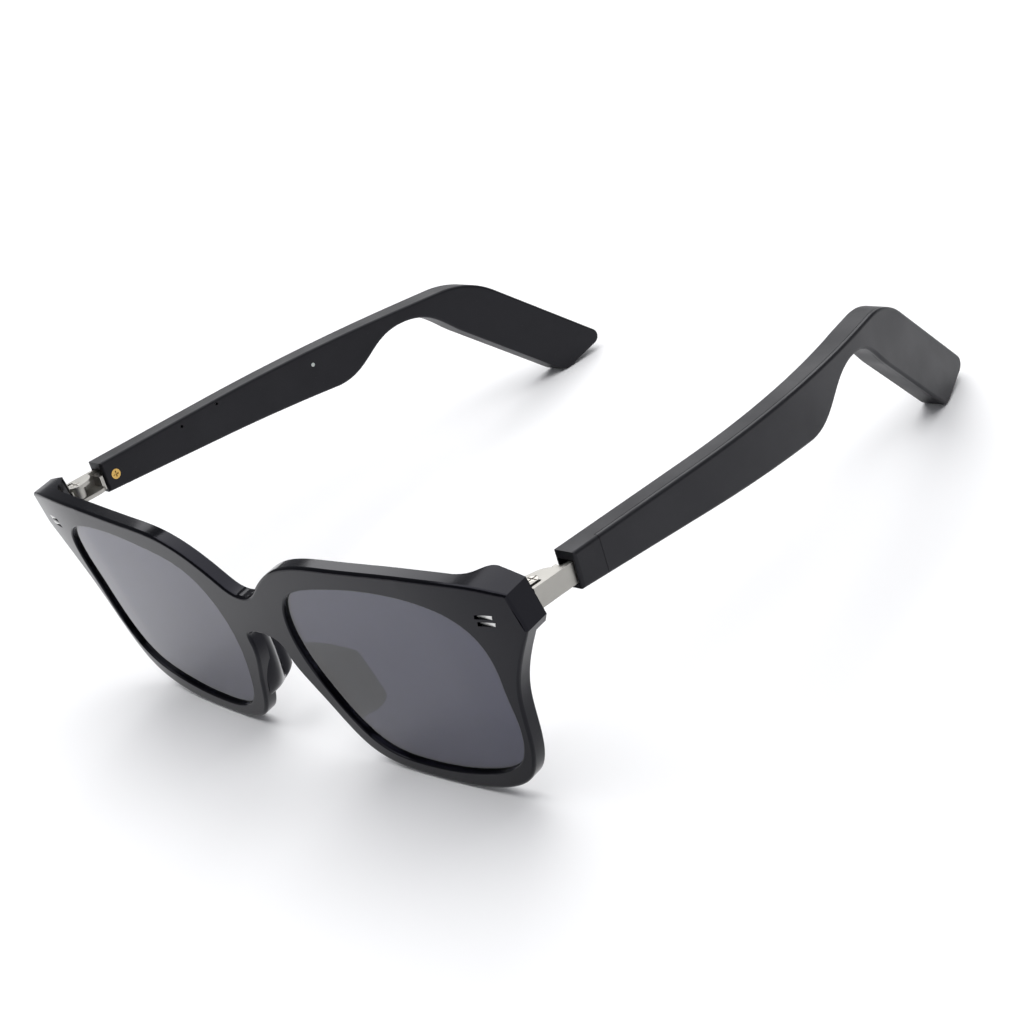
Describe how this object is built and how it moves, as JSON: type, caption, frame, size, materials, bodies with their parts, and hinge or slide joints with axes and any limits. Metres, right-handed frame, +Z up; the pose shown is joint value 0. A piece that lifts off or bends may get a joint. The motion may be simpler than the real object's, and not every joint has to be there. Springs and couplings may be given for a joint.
{
  "type": "smart glasses",
  "caption": "Full-rim folding glasses with thick temples that hold speakers, cells and a touch surface.",
  "frame": {"origin": "on the surface that the glasses stand on, under the middle of the whole", "axes": "+Z up, the lenses face -Y, the wearer's left is +X"},
  "size_m": [0.1488, 0.1432, 0.0486],
  "materials": {
    "frame_gloss": "polished black acetate",
    "tinted_lens": "blue-grey tint, reflective coating",
    "corner_metal": "small polished inlays",
    "hinge_nickel": "satin nickel",
    "brass_screw": "satin",
    "temple_satin": "satin black",
    "temple_cover": "satin black, a little smoother",
    "sensor_film": "amber flexible circuit",
    "board": "solder mask",
    "cell_foil": "pouch foil",
    "speaker_case": "moulded",
    "mesh_steel": "fine woven mesh",
    "button": "satin black",
    "switch": "moulded",
    "light_guide": "milky clear",
    "microphone_can": "plated can"
  },
  "bodies": {
    "front": {"front_frame": "frame_gloss", "left_lens": "tinted_lens", "right_lens": "tinted_lens", "left_corner_bars": "corner_metal", "right_corner_bars": "corner_metal", "left_front_hinge": "hinge_nickel", "right_front_hinge": "hinge_nickel"},
    "left_temple": {"left_temple_housing": "temple_satin", "left_temple_cover": "temple_cover", "left_hinge_bracket": "hinge_nickel", "left_hinge_screw": "hinge_nickel", "left_lock_screw": "brass_screw", "left_touch_sensor": "sensor_film", "left_circuit_board": "board", "left_battery": "cell_foil", "left_speaker": "speaker_case", "left_speaker_mesh": "mesh_steel"},
    "right_temple": {"right_temple_housing": "temple_satin", "right_temple_cover": "temple_cover", "right_hinge_bracket": "hinge_nickel", "right_hinge_screw": "hinge_nickel", "right_lock_screw": "brass_screw", "right_touch_sensor": "sensor_film", "right_circuit_board": "board", "right_battery": "cell_foil", "right_speaker": "speaker_case", "right_speaker_mesh": "mesh_steel", "button_switch": "switch", "status_light": "light_guide", "microphone": "microphone_can"},
    "power_button": {"power_button": "button"}
  },
  "joints": [
    {"name": "left_temple_fold", "type": "hinge", "parent": "front", "child": "left_temple", "pos_m": [0.0705, -0.05895, 0.04174], "axis": [0, 0.1193, 0.9929], "range_deg": [0, 82]},
    {"name": "right_temple_fold", "type": "hinge", "parent": "front", "child": "right_temple", "pos_m": [-0.0705, -0.05895, 0.04174], "axis": [0, -0.1193, -0.9929], "range_deg": [0, 72.5]},
    {"name": "power_button_press", "type": "slide", "parent": "right_temple", "child": "power_button", "axis": [0, 0.1193, 0.9929], "range_m": [0, 0.00025], "stiffness_N_per_m": 2000}
  ]
}
